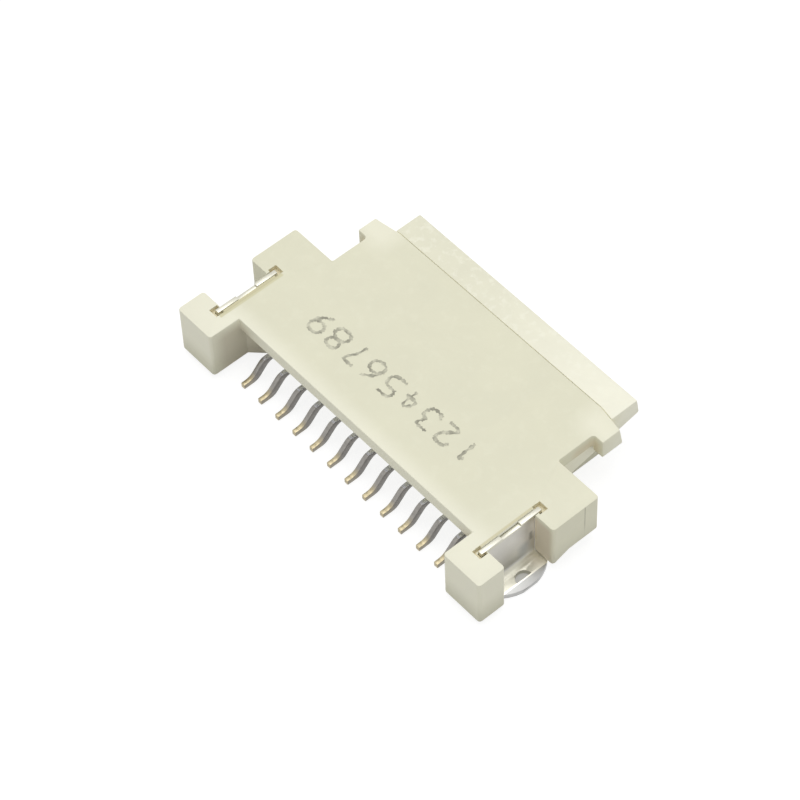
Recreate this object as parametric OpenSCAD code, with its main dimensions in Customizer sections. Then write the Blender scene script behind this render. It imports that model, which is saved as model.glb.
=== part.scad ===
// Right-angle surface-mount connector for a flat flexible cable, with a drawer slider.
// The slider's drawer pulls out along +Y, the cable goes in under it, and the slider
// pushed back home presses the cable's bare ends down on the contact beams.
// X runs along the row of contacts, +Y points out of the cable mouth, and Z = 0 is the
// surface of the circuit board. Depths in the sections below are measured along +Y from
// the rear edge of the top plate, and the whole part is then centred on the origin.

/* [Contact row] */
// Number of contacts
positions = 12; // [6:1:16]
// Distance between contact centres
pitch = 1.0; // [0.9:0.05:1.25]
// Free space at each side of the cable
cable_side_gap = 0.05; // [0.03:0.01:0.08]

/* [Housing plate] */
// Height of the housing above the board
housing_h = 2.5; // [2.4:0.05:3]
// Thickness of the top plate
plate_t = 0.62; // [0.5:0.02:0.68]
// Depth of the top plate, rear edge to front edge
plate_depth = 7.18; // [6.9:0.02:7.8]
// Half of the plate's waist, beyond the last contact
waist_margin = 0.81; // [0.76:0.01:0.9]
// Width of the small tab at each front corner
tab_w = 0.5; // [0.3:0.02:0.8]
// Length of the tab along Y
tab_len = 0.86; // [0.6:0.02:1.3]
// Thickness of the tab
tab_t = 0.92; // [0.7:0.02:1]
// How far the tab stops behind the plate's front edge
tab_setback = 0.2; // [0:0.02:0.3]
// How far the tab's front face leans out towards its bottom
tab_lean = 0.16; // [0:0.02:0.2]
// Length over which the plate's front edge runs back towards the tab
front_blend = 0.7; // [0.4:0.1:2]

/* [Housing body] */
// Overhang of the plate behind the contact block
rear_overhang = 0.95; // [0.8:0.05:1.1]
// Thickness of the block that holds the contacts
block_depth = 1.4; // [1.2:0.05:1.6]
// Thickness of the floor under the cable
floor_t = 0.5; // [0.42:0.02:0.54]
// Depth of the floor's front edge
floor_front = 7.0; // [6.4:0.1:7.2]
// Half of the floor's front part, beyond the last contact
floor_margin = 0.38; // [0.3:0.02:0.42]
// Lead-in chamfer on the floor's front edge
floor_lead = 0.3; // [0.1:0.05:0.5]
// Side chamfer under the floor
floor_chamfer = 0.2; // [0.1:0.02:0.3]
// Height of the cable space above the floor, at the lips that stop the slider
lip_lift = 0.48; // [0.42:0.02:0.56]
// Thickness of those lips along Y
lip_t = 0.42; // [0.3:0.02:0.5]
// Width of the sloping fill behind each end of the contact block
fill_w = 0.7; // [0.4:0.05:0.8]

/* [Mounting ears] */
// Width of an ear, inner face to outer face
ear_w = 1.92; // [1.7:0.02:2.2]
// How far an ear reaches behind the plate
ear_back = 1.41; // [1.3:0.02:1.6]
// Gap between the rear ear and the front block, open to the side
recess_len = 2.3; // [2.2:0.05:2.5]
// Depth of the gap's middle
recess_y = 1.0; // [0.95:0.01:1.2]
// Depth of the front block's front face
side_depth = 4.39; // [4.3:0.02:4.8]
// Height of the rear ear's underside above the board
ear_lift = 0.18; // [0.1:0.02:0.3]
// Height of the front block's underside at the gap
block_low = 0.33; // [0.3:0.01:0.5]
// Height of the front block's underside at its front
block_lift = 0.62; // [0.52:0.02:0.8]
// Depth over which the front block's underside slopes
block_slope = 0.8; // [0.4:0.05:1.2]
// Radius of the ears' upright edges
ear_r = 0.14; // [0.04:0.02:0.2]

/* [Solder nails] */
// Depth of the nail's middle
nail_y = 1.05; // [0.98:0.01:1.1]
// Thickness of the nail's sheet
nail_t = 0.2; // [0.15:0.01:0.24]
// Length of the nail's upright plate
nail_len = 2.9; // [2.8:0.05:3]
// Gap between the nail's top and the housing's top
nail_drop = 0.02; // [0:0.01:0.1]
// Plastic between the cable space and the nail's groove
nail_wall = 0.72; // [0.68:0.02:0.8]
// Play of the nail in its groove, each side
nail_fit = 0.02; // [0.01:0.01:0.04]
// Width of the pocket at each end of the groove, beyond the nail, each side
pocket_margin = 0.12; // [0.08:0.02:0.2]
// Length of that pocket beyond the nail's end
pocket_end = 0.18; // [0.1:0.02:0.3]
// Length of that pocket beside the nail's end
pocket_side = 0.2; // [0.1:0.02:0.3]
// Depth of that pocket
pocket_depth = 0.2; // [0.1:0.02:0.4]
// Length of the shallow notch in the nail's top edge
nail_notch_len = 0.9; // [0.6:0.1:1.4]
// Depth of that notch
nail_notch_depth = 0.1; // [0.05:0.01:0.2]
// Inside radius of the bend into the foot
nail_bend_r = 0.25; // [0.15:0.05:0.35]
// Reach of the foot, from the upright plate's outer face
foot_reach = 1.02; // [0.9:0.02:1.2]
// Gap beside the foot's bend, each side
foot_side_gap = 0.03; // [0.02:0.01:0.1]
// Reach of the foot's far side under the front block
foot_under = 0.12; // [0.05:0.01:0.15]
// Radius of the foot's rounded end
foot_end_r = 1.95; // [1.3:0.05:2.5]
// Distance of the foot's fold from its tip
foot_fold_in = 0.34; // [0.3:0.01:0.4]
// Slope of the foot between its bend and its fold, in degrees
foot_droop = 4; // [2:1:5]
// Slope of the foot between its fold and its tip, in degrees
foot_tip_droop = 9; // [6:1:12]
// Radius of the half-round solder window beside the fold
foot_hole_r = 0.36; // [0.25:0.01:0.38]
// Distance from the fold to the window's straight side
foot_hole_gap = 0.03; // [0.02:0.01:0.06]

/* [Slider] */
// Depth of the grip bar in front of the plate
bar_depth = 1.31; // [1.0:0.01:1.5]
// How far the bar's front face leans out towards its bottom
bar_lean = 0.13; // [0:0.01:0.2]
// Step down from the plate's top to the bar's top
bar_drop = 0.025; // [0:0.005:0.1]
// Thickness of the bar at its front
bar_t = 0.785; // [0.7:0.005:1.0]
// Gap between the bar and the plate when it is home
bar_gap = 0.02; // [0.01:0.01:0.05]
// Radius of the bar's upright corners
bar_corner_r = 0.08; // [0.04:0.02:0.4]
// Radius of the bar's long upper edge
bar_edge_r = 0.06; // [0.02:0.01:0.12]
// Radius of the bar's long lower edge
bar_low_r = 0.1; // [0.04:0.01:0.16]
// Sideways play of the slider, each side
slider_play = 0.28; // [0.24:0.01:0.34]
// Gap left on the side that the slider leans to
lean_gap = 0.07; // [0.03:0.01:0.15]
// Vertical clearance of the tongue under the plate
tongue_gap = 0.04; // [0.02:0.01:0.06]
// Depth of the tongue's tip when home
tongue_tip = 2.5; // [2.45:0.05:2.6]
// Thickness of the tongue's tip
tip_t = 0.34; // [0.25:0.01:0.4]
// Height of the tongue's pressing face above the floor
press_gap = 0.42; // [0.38:0.01:0.46]
// Depth where the pressing face starts
press_start = 4.1; // [3.9:0.05:4.3]
// Length of the pressing face along Y
press_len = 0.9; // [0.6:0.1:1.1]
// Sideways reach of the stop lugs
lug_reach = 0.6; // [0.56:0.01:0.64]
// Length of the stop lugs along Y
lug_len = 0.45; // [0.3:0.05:0.6]
// Travel of the slider from home to open
travel = 1.0; // [0.6:0.05:1.05]

/* [Contacts] */
// Thickness of the contact's sheet
contact_t = 0.2; // [0.15:0.01:0.22]
// Height of the tail where it leaves the block and at its tip
tail_h = 0.23; // [0.18:0.01:0.27]
// Middle height of the tail where it leaves the block
tail_exit_z = 0.76; // [0.65:0.01:0.8]
// Reach of the tail behind the plate's rear edge
tail_reach = 0.88; // [0.6:0.02:1.2]
// Length of the tail's foot, from its upper edge's bend to its tip
tail_foot = 0.4; // [0.3:0.02:0.6]
// Depth at which the tail's upper edge bends down
tail_bend_y = 0.14; // [0.1:0.02:0.3]
// How far the bends of the lower edge lie in front of those of the upper edge
tail_swell = 0.26; // [0.12:0.02:0.36]
// Radius of the tail's bends
tail_bend_r = 0.5; // [0.2:0.05:0.6]
// Height of the spring beam where it leaves the block
beam_h = 0.24; // [0.18:0.01:0.26]
// Depth of the bump that touches the cable
bump_y = 4.6; // [4.4:0.05:4.8]
// Rise of the bump above the floor
bump_rise = 0.22; // [0.1:0.02:0.28]
// Distance from the bump to the beam's tip
beam_tip = 0.5; // [0.4:0.05:0.7]
// Play of the contact in the block, each side
contact_fit = 0.01; // [0.01:0.005:0.02]
// Room beside the beam in its groove, each side
groove_gap = 0.04; // [0.02:0.01:0.06]

/* [Hidden] */
// Cut overshoot, so that no cut ends on a face
eps = 0.1;
// Radius that blends the plate's front edge into its ends
blend_r = 1.5;
// Steps in each rounded corner of an outline
arc_steps = 5;
$fn = 48;

// Across the row
row_half = (positions - 1) * pitch / 2;
cavity_half = row_half + pitch + cable_side_gap;
waist_half = row_half + waist_margin;
ear_in = cavity_half;
ear_out = ear_in + ear_w;
nail_in = cavity_half + nail_wall + nail_fit;
nail_out = nail_in + nail_t;
foot_out = nail_out + foot_reach;
fold_x = foot_out - foot_fold_in;
slider_half = waist_half - slider_play;
lean = slider_play - lean_gap;
lug_half = slider_half + lug_reach;
lug_room = lug_half + slider_play;

// Along the depth
block_rear = rear_overhang;
block_front = block_rear + block_depth;
recess_rear = recess_y - recess_len / 2;
recess_front = recess_y + recess_len / 2;
bar_rear = plate_depth + bar_gap;
bar_front = bar_rear + bar_depth;
tab_front = plate_depth - tab_setback;
blend_x = waist_half - front_blend;
lug_front = tongue_tip + lug_len;
lip_rear = side_depth - lip_t;
centre_y = (bar_front - ear_back) / 2;

// Up from the board
plate_z = housing_h - plate_t;
tongue_z = plate_z - tongue_gap;
bar_top = housing_h - bar_drop;
press_z = floor_t + press_gap;
lip_z = floor_t + lip_lift;
lug_z = tongue_z - tip_t;
bump_z = floor_t + bump_rise;
pocket_z = housing_h - pocket_depth;

// Contact block slots and floor grooves
slot_low = 0.1;
slot_high = plate_z - 0.28;
tooth_h = 0.02;
window_rear = bump_y - 0.9;
window_front = bump_y + beam_tip + 0.3;

housing_colour = "#E4E3CA";
slider_colour = "#EFEDDD";
contact_colour = "#8F8C85";
nail_colour = "#C9C8C2";

// ---- Outlines ----

// Node name of contact i, counted from -X
function contact_name(i) = str("contact_", i < 10 ? "0" : "", i);

// Place of contact i along the row
function contact_x(i) = (i - 1) * pitch - row_half;

function unit(v) = v / norm(v);

// The same turn as an angle between -180 and 180 degrees
function short_turn(a) = a > 180 ? a - 360 : a < -180 ? a + 360 : a;

// Arc of radius r that rounds the corner b between a and c
function corner_arc(a, b, c, r) =
    let (
        u = unit(a - b),
        v = unit(c - b),
        half = acos(u * v) / 2,
        centre = b + unit(u + v) * r / sin(half),
        start = b + u * r / tan(half) - centre,
        end = b + v * r / tan(half) - centre,
        a0 = atan2(start.y, start.x),
        sweep = short_turn(atan2(end.y, end.x) - a0)
    )
    [for (i = [0:arc_steps]) centre + r * [cos(a0 + sweep * i / arc_steps), sin(a0 + sweep * i / arc_steps)]];

// Closed outline through corners given as [x, y, radius]
function rounded(corners) =
    let (n = len(corners))
    [
        for (i = [0:n - 1])
            let (
                p = corners[i],
                before = corners[(i + n - 1) % n],
                after = corners[(i + 1) % n]
            )
            each p.z == 0
                ? [[p.x, p.y]]
                : corner_arc([before.x, before.y], [p.x, p.y], [after.x, after.y], p.z)
    ];

// Open middle line of a bent strip through [x, y, bend radius]
function middle_line(bends) =
    let (n = len(bends))
    [
        for (i = [0:n - 1])
            let (p = bends[i])
            each (i == 0 || i == n - 1 || p.z == 0)
                ? [[p.x, p.y]]
                : corner_arc([bends[i - 1].x, bends[i - 1].y], [p.x, p.y], [bends[i + 1].x, bends[i + 1].y], p.z)
    ];

// The middle line moved sideways by d, to its left when d is positive
function beside(line, d) =
    let (n = len(line))
    [
        for (i = [0:n - 1])
            let (
                into = i == 0 ? unit(line[1] - line[0]) : unit(line[i] - line[i - 1]),
                out = i == n - 1 ? into : unit(line[i + 1] - line[i]),
                along = unit(into + out)
            )
            line[i] + [-along.y, along.x] * d / (along * out)
    ];

// Outline of a bent strip of thickness t
function strip(bends, t) =
    let (
        line = middle_line(bends),
        left = beside(line, t / 2),
        right = beside(line, -t / 2),
        n = len(line)
    )
    concat(left, [for (i = [n - 1:-1:0]) right[i]]);

// ---- Helpers ----

// Moves the part's depths so that its middle is at the origin
module centred() {
    translate([0, -centre_y, 0]) children();
}

// The same shape at both ends of the row
module both_ends() {
    children();
    mirror([1, 0, 0]) children();
}

// A box from one corner to the opposite one
module block(low, high) {
    translate(low) cube(high - low);
}

// A Y-Z outline made w thick along X, centred on x
module side_profile(x, w) {
    translate([x - w / 2, 0, 0])
        rotate([90, 0, 90])
            linear_extrude(w) children();
}

// An X-Z outline made solid from depth y0 to depth y1
module end_profile(y0, y1) {
    translate([0, y1, 0])
        rotate([90, 0, 0])
            linear_extrude(y1 - y0) children();
}

// ---- Housing ----

// Top plate with the ears, the waist and the front tabs, in plan
module plate_outline() {
    half = [
        [blend_x, plate_depth, blend_r],
        [waist_half + tab_w, tab_front, ear_r],
        [waist_half + tab_w, tab_front - tab_len, ear_r],
        [waist_half, tab_front - tab_len, ear_r],
        [waist_half, side_depth, ear_r / 2],
        [ear_out, side_depth, ear_r],
        [ear_out, recess_front, ear_r],
        [nail_out, recess_front, 0],
        [nail_out, recess_rear, 0],
        [ear_out, recess_rear, ear_r],
        [ear_out, -ear_back, ear_r],
        [ear_in, -ear_back, ear_r],
        [ear_in, 0, 0]
    ];
    n = len(half);
    other = [for (i = [n - 1:-1:0]) [-half[i].x, half[i].y, half[i].z]];
    polygon(rounded(concat(half, other)));
}

// Plan of what hangs under the plate at the right end: rear ear, side wall, front block
module side_outline() {
    polygon(rounded([
        [ear_in, -ear_back, ear_r],
        [ear_out, -ear_back, ear_r],
        [ear_out, recess_rear, ear_r],
        [nail_out, recess_rear, 0],
        [nail_out, recess_front, 0],
        [ear_out, recess_front, ear_r],
        [ear_out, side_depth, ear_r],
        [ear_in, side_depth, 0]
    ]));
}

// Space under the ears and the front blocks, seen from the end
module underside_space() {
    polygon([
        [-ear_back - eps, -eps],
        [-ear_back - eps, ear_lift],
        [recess_rear, ear_lift],
        [recess_front, block_low],
        [recess_front + block_slope, block_lift],
        [side_depth + eps, block_lift],
        [side_depth + eps, -eps]
    ]);
}

// Walls at the right end, from the underside up to the plate
module side_walls() {
    under_w = ear_w + eps;
    difference() {
        linear_extrude(plate_z) side_outline();
        side_profile(nail_in - nail_fit + under_w / 2, under_w) underside_space();
        block([ear_in - eps, -ear_back - eps, -eps], [nail_in, block_rear, ear_lift]);
    }
    // Lip that stops the slider's lug, clear of the cable below it
    block([waist_half, lip_rear, lip_z], [ear_in, side_depth, plate_z]);
    // Front tab, thicker than the plate and with a leaning front face
    side_profile(waist_half + tab_w / 2, tab_w)
        polygon([
            [tab_front - tab_len, housing_h - tab_t],
            [tab_front + tab_lean, housing_h - tab_t],
            [tab_front, housing_h],
            [tab_front - tab_len, housing_h]
        ]);
    // Sloping fill between the ear and the contact block
    translate([0, 0, ear_lift])
        linear_extrude(plate_z - ear_lift)
            polygon([
                [ear_in, block_rear - fill_w],
                [ear_in, block_rear],
                [ear_in - fill_w, block_rear]
            ]);
}

// Groove that grips the nail, with a pocket at each end, at the right end
module nail_groove() {
    grip = nail_len / 2 + nail_fit;
    block([nail_in - nail_fit, nail_y - grip, -eps], [nail_out + nail_fit, nail_y + grip, housing_h + eps]);
    for (y = [nail_y - nail_len / 2 - pocket_end, nail_y + nail_len / 2 - pocket_side])
        block(
            [nail_in - pocket_margin, y, pocket_z],
            [nail_out + pocket_margin, y + pocket_side + pocket_end, housing_h + eps]
        );
}

// Room in the right side wall for the slider's lug, over its whole travel
module lug_pocket() {
    block(
        [ear_in - eps, block_front, lug_z - tongue_gap],
        [lug_room, lip_rear, plate_z]
    );
}

// Slot and groove of one contact
module contact_cut(x) {
    slot_w = contact_t + 2 * contact_fit;
    groove_w = contact_t + 2 * groove_gap;
    block([x - slot_w / 2, block_rear - eps, slot_low], [x + slot_w / 2, block_front + eps, slot_high]);
    block([x - groove_w / 2, block_front, slot_low], [x + groove_w / 2, window_front, floor_t + eps]);
    block([x - groove_w / 2, window_rear, -eps], [x + groove_w / 2, window_front, slot_low + eps]);
}

// Floor under the cable, with its side chamfers and front lead-in
module floor_plate() {
    half = row_half + floor_margin;
    block([-cavity_half, block_front, 0], [cavity_half, side_depth, floor_t]);
    intersection() {
        end_profile(block_front, floor_front)
            polygon([
                [-half + floor_chamfer, 0],
                [half - floor_chamfer, 0],
                [half, floor_chamfer],
                [half, floor_t],
                [-half, floor_t],
                [-half, floor_chamfer]
            ]);
        side_profile(0, 2 * half + eps)
            polygon([
                [block_front, 0],
                [floor_front, 0],
                [floor_front, floor_t / 2],
                [floor_front - floor_lead, floor_t],
                [block_front, floor_t]
            ]);
    }
}

module housing() {
    color(housing_colour)
        centred()
            difference() {
                union() {
                    translate([0, 0, plate_z]) linear_extrude(plate_t) plate_outline();
                    both_ends() side_walls();
                    block([-cavity_half, block_rear, 0], [cavity_half, block_front, plate_z]);
                    floor_plate();
                }
                both_ends() nail_groove();
                both_ends() lug_pocket();
                for (i = [1:positions]) contact_cut(contact_x(i));
            }
}

// ---- Slider ----

// Grip bar and wedge-shaped tongue, seen from the end
module slider_outline() {
    polygon(rounded([
        [tongue_tip, lug_z, 0.05],
        [press_start, press_z, 0.3],
        [press_start + press_len, press_z, 0.3],
        [bar_front, bar_top - bar_t, bar_low_r],
        [bar_front - bar_lean, bar_top, bar_edge_r],
        [tab_front, bar_top, 0],
        [tab_front, tongue_z, 0],
        [tongue_tip, tongue_z, 0.05]
    ]));
}

// Plan of the slider, with rounded front corners and the two stop lugs
module slider_plan() {
    half = [
        [slider_half, bar_front, bar_corner_r],
        [slider_half, lug_front, 0],
        [lug_half, lug_front, 0.04],
        [lug_half, tongue_tip, 0.1]
    ];
    n = len(half);
    other = [for (i = [n - 1:-1:0]) [-half[i].x, half[i].y, half[i].z]];
    polygon(rounded(concat(half, other)));
}

// Space behind the bar, along the plate's front edge
module plate_room() {
    half = [
        [blend_x, bar_rear, blend_r],
        [waist_half + tab_w, tab_front + bar_gap, 0],
        [waist_half + tab_w, tongue_tip, 0]
    ];
    n = len(half);
    other = [for (i = [n - 1:-1:0]) [-half[i].x, half[i].y, half[i].z]];
    polygon(rounded(concat(half, other)));
}

module slider() {
    color(slider_colour)
        centred()
            difference() {
                translate([lean, 0, 0])
                    difference() {
                        intersection() {
                            side_profile(0, 2 * lug_half + eps) slider_outline();
                            linear_extrude(housing_h) slider_plan();
                        }
                        // The lugs keep only the tip's thickness
                        both_ends()
                            block(
                                [slider_half, tongue_tip - eps, -eps],
                                [lug_half + eps, lug_front + eps, lug_z]
                            );
                    }
                translate([0, 0, tongue_z]) linear_extrude(housing_h) plate_room();
            }
}

// ---- Contacts ----

// One long edge of the tail, from the block to the tip, at height high and then low
function tail_edge(high, low, shift) =
    middle_line([
        [block_rear + eps * 2, high, 0],
        [tail_bend_y + shift, high, tail_bend_r],
        [-tail_reach + tail_foot + shift, low, tail_bend_r],
        [-tail_reach, low, 0]
    ]);

// Tail that swells between its two bends and ends in the flat solder foot
module tail_outline() {
    upper = tail_edge(tail_exit_z + tail_h / 2, tail_h, 0);
    lower = tail_edge(tail_exit_z - tail_h / 2, 0, tail_swell);
    n = len(lower);
    polygon(concat(upper, [for (i = [n - 1:-1:0]) lower[i]]));
}

// Base that is pushed into the block, with two gripping teeth on top
module base_outline() {
    low = slot_low + tooth_h;
    high = slot_high - tooth_h;
    rear = block_rear + eps;
    translate([rear, low]) square([block_front - rear, high - low]);
    for (y = [rear + 0.25, rear + 0.65])
        polygon([[y, high - tooth_h], [y + 0.3, high - tooth_h], [y + 0.3, high], [y + 0.24, high + tooth_h / 2]]);
}

// Spring beam that rises to the bump and drops to its tip
module beam_outline() {
    low = slot_low + tooth_h;
    polygon(rounded([
        [block_front - eps, low, 0],
        [block_front + 0.5, low, 0.6],
        [bump_y, bump_z - beam_h * 0.8, 0.12],
        [bump_y + beam_tip, floor_t - beam_h * 0.8, 0],
        [bump_y + beam_tip, floor_t - beam_h * 0.3, 0.04],
        [bump_y, bump_z, 0.18],
        [block_front + 0.4, low + beam_h, 0.6],
        [block_front - eps, low + beam_h, 0]
    ]));
}

module contact(i) {
    color(contact_colour)
        centred() {
            side_profile(contact_x(i), contact_t) tail_outline();
            side_profile(contact_x(i), contact_t) base_outline();
            side_profile(contact_x(i), contact_t) beam_outline();
        }
}

// ---- Solder nails ----

// Upright plate, bend and drooping foot with its fold, seen from the end
module nail_section() {
    bend_r = nail_bend_r + nail_t / 2;
    upright_x = nail_in + nail_t / 2;
    tip_x = foot_out - nail_t / 2 * sin(foot_tip_droop);
    tip_z = nail_t / 2 * cos(foot_tip_droop);
    fold_z = tip_z + (tip_x - fold_x) * tan(foot_tip_droop);
    knee_z = fold_z + (fold_x - upright_x) * tan(foot_droop);
    polygon(strip([
        [upright_x, housing_h - nail_drop, 0],
        [upright_x, knee_z, bend_r],
        [fold_x, fold_z, 0],
        [tip_x, tip_z, 0]
    ], nail_t));
}

// Plan of the foot, with its rounded end
module foot_outline() {
    intersection() {
        translate([nail_in - eps, recess_rear + foot_side_gap])
            square([foot_out - nail_in + 2 * eps, recess_len - foot_side_gap + foot_under]);
        translate([foot_out - foot_end_r, nail_y]) circle(foot_end_r);
    }
}

// The nail at the right end
module nail() {
    top = housing_h - nail_drop;
    knee = nail_out + nail_bend_r;
    foot_clear = 2 * nail_bend_r + nail_t;
    end_rear = nail_y - nail_len / 2;
    end_front = nail_y + nail_len / 2;
    difference() {
        end_profile(end_rear, end_front) nail_section();
        // Only the plate goes on beside the bend, in the groove
        for (y = [[end_rear - eps, recess_rear + foot_side_gap], [recess_front + foot_under, end_front + eps]])
            block([nail_out, y[0], -eps], [knee, y[1], foot_clear]);
        // The bend's lower part reaches under the front block
        block(
            [nail_out, recess_front - foot_side_gap, block_low - foot_side_gap],
            [knee, end_front, foot_clear]
        );
        // Outside of the foot's rounded outline
        difference() {
            block([knee, end_rear - eps, -eps], [foot_out + eps, end_front + eps, foot_clear]);
            linear_extrude(housing_h) foot_outline();
        }
        // Half-round window
        intersection() {
            translate([fold_x, nail_y, -eps]) cylinder(r = foot_hole_r, h = foot_clear);
            block([knee, recess_rear, -eps], [fold_x - foot_hole_gap, recess_front, foot_clear]);
        }
        block(
            [nail_in - eps, nail_y - nail_notch_len / 2, top - nail_notch_depth],
            [knee, nail_y + nail_notch_len / 2, top + eps]
        );
    }
}

module solder_nail_right() {
    color(nail_colour) centred() nail();
}

module solder_nail_left() {
    color(nail_colour) centred() mirror([1, 0, 0]) nail();
}

housing();
slider();
for (i = [1:positions])
    contact(i);
solder_nail_left();
solder_nail_right();
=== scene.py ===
import logging
import math
from dataclasses import dataclass, field
from enum import Enum

import bmesh
import bpy
import numpy as np
from mathutils import Matrix, Vector


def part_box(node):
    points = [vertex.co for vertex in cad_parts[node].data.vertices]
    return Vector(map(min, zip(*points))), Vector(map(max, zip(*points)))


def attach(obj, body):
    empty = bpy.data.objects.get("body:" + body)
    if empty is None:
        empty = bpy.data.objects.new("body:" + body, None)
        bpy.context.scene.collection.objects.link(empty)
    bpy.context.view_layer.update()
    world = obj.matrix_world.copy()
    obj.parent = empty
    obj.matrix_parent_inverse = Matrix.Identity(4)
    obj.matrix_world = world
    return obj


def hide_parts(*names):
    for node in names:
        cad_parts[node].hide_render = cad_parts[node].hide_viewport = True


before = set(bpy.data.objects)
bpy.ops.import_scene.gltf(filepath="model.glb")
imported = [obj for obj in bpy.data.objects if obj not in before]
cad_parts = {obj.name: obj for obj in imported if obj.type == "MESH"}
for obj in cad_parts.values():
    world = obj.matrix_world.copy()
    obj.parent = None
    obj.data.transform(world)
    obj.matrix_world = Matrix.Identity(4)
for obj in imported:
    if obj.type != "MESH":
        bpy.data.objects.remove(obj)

MM = 0.001
LOG = logging.getLogger("connector")
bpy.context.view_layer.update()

# Nearly all values of a noise texture lie between these two.
NOISE_LOW, NOISE_HIGH = 0.3, 0.7
# A typical index of refraction of polymers and inks.
POLYMER_IOR = 1.5

# Points of a CAD mesh that are this close are one, in mm.
MERGE_MM = 1e-4
# Neighbouring faces that turn by less than this are one.
FLAT_TURN = math.radians(0.5)
# Edges that turn by more than this are rounded.
ROUND_TURN = math.radians(32.0)
# Edges that still turn by more than this after that are shaded sharp.
SHARP_TURN = math.radians(40.0)
# Strips in each rounded edge.
ROUND_STRIPS = 2
# Corners of the largest face that isn't cut into triangles.
QUAD_CORNERS = 4
# How much more the large faces count in the shading of a rounded edge, from 1 to 100.
LARGE_FACE_WEIGHT = 95

Colour = bpy.types.NodeSocket | tuple[float, float, float, float]


class Body(Enum):
    """Rigid bodies that the pieces ride on."""

    HOUSING = "housing"
    SLIDER = "slider"


class Axis(Enum):
    """Axes that a colour changes along."""

    X = "X"
    Y = "Y"
    Z = "Z"


class End(Enum):
    """Ends of the row at which a colour shows."""

    BOTH = 0
    RIGHT = 1
    LEFT = -1


def linear(hex_code: str) -> tuple[float, float, float, float]:
    """Turns an sRGB hex colour into the linear RGBA that the shaders take.

    Each channel follows the sRGB curve: a straight line near black, and a power of 2.4 above it.

    Args:
        hex_code: Colour such as "#E4E2C8".

    Returns:
        Linear red, green and blue, and an alpha of 1.
    """
    channels = [int(hex_code[i:i + 2], 16) / 255 for i in (1, 3, 5)]
    values = [c / 12.92 if c <= 0.04045 else ((c + 0.055) / 1.055) ** 2.4 for c in channels]
    return (values[0], values[1], values[2], 1.0)


def add_node(
        tree: bpy.types.NodeTree, kind: str, settings: dict[str, str] | None = None,
        **inputs: Colour | float | tuple[float, float, float]) -> bpy.types.Node:
    """Adds one shader node with its settings and links.

    Args:
        tree: Node tree that gets the node.
        kind: Type name of the node without the leading ShaderNode.
        settings: Attributes of the node, such as its operation.
        **inputs: Value or output socket for each input. An underscore stands for a space, and
            in0, in1 and so on name an input by its number.

    Returns:
        The new node.
    """
    node = tree.nodes.new("ShaderNode" + kind)
    for key, value in (settings or {}).items():
        setattr(node, key, value)
    for key, value in inputs.items():
        number = key.removeprefix("in")
        socket = node.inputs[int(number) if number.isdigit() else key.replace("_", " ")]
        if isinstance(value, bpy.types.NodeSocket):
            tree.links.new(value, socket)
        else:
            socket.default_value = value
    return node


def new_material(name: str) -> tuple[bpy.types.Material, bpy.types.NodeTree, bpy.types.Node]:
    """Makes an empty node material.

    Args:
        name: Name of the material.

    Returns:
        The material, its tree and its output node.
    """
    material = bpy.data.materials.new(name)
    material.use_nodes = True
    tree = material.node_tree
    tree.nodes.clear()
    return material, tree, tree.nodes.new("ShaderNodeOutputMaterial")


def place_in_mm(tree: bpy.types.NodeTree) -> bpy.types.NodeSocket:
    """Gives the object coordinates in mm.

    Args:
        tree: Node tree of the material.

    Returns:
        The coordinates, as one vector.
    """
    place = add_node(tree, "TexCoord").outputs["Object"]
    return add_node(tree, "Mapping", Vector=place, Scale=(1 / MM,) * 3).outputs[0]


# ---------------------------------------------------------------- finishes


@dataclass(frozen=True)
class Tone:
    """A soft change of colour along one axis.

    Attributes:
        colour: Colour at the far end.
        axis: Axis along which the tone changes.
        start: Place where it starts, in mm.
        end: Place where it is full, in mm.
    """

    colour: str
    axis: Axis
    start: float
    end: float


@dataclass(frozen=True)
class Box:
    """A box and its mirror copy at the other end of the row.

    Attributes:
        low: Smallest distance from the middle along X, below 0 where the middle is in the box, then Y and Z, in mm.
        high: Largest distance from the middle along X, then Y and Z, in mm.
    """

    low: tuple[float, float, float]
    high: tuple[float, float, float]

    def holds(self, place: Vector) -> bool:
        """Tells whether a place, in mm, lies in the box or in its mirror copy."""
        return all(a < v < b for a, v, b in zip(self.low, (abs(place.x), place.y, place.z), self.high))


@dataclass(frozen=True)
class Region:
    """A box with a colour of its own or with painted light or shade, such as painted warm shade in a pocket.

    Attributes:
        box: The box, at both ends of the row.
        colour: Colour inside.
        amount: Share of that colour.
        blur: Width over which it fades in, in mm.
        end: End of the row at which it shows.
    """

    box: Box
    colour: str
    amount: float = 0.8
    blur: float = 0.03
    end: End = End.BOTH


@dataclass(frozen=True)
class PartingLine:
    """A hair line where two inserts of the mould met, on the outer face at the right end.

    Attributes:
        depth: Y of the line, in mm.
        core: Half of the width of its dark middle, in mm.
        reach: Half of the width over which it fades out, in mm.
        face: X from which it shows, and X of the face, where it is full, in mm.
        share: Share of its colour.
        heights: Z up to which it is faint, and Z from which it is full, in mm.
        faint: How much of that share is left where it is faint.
        colour: Colour of the line.
    """

    depth: float
    core: float = 0.01
    reach: float = 0.04
    face: tuple[float, float] = (8.45, 8.465)
    share: float = 0.5
    heights: tuple[float, float] = (1.0, 1.5)
    faint: float = 0.15
    colour: str = "#8E8A76"


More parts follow.
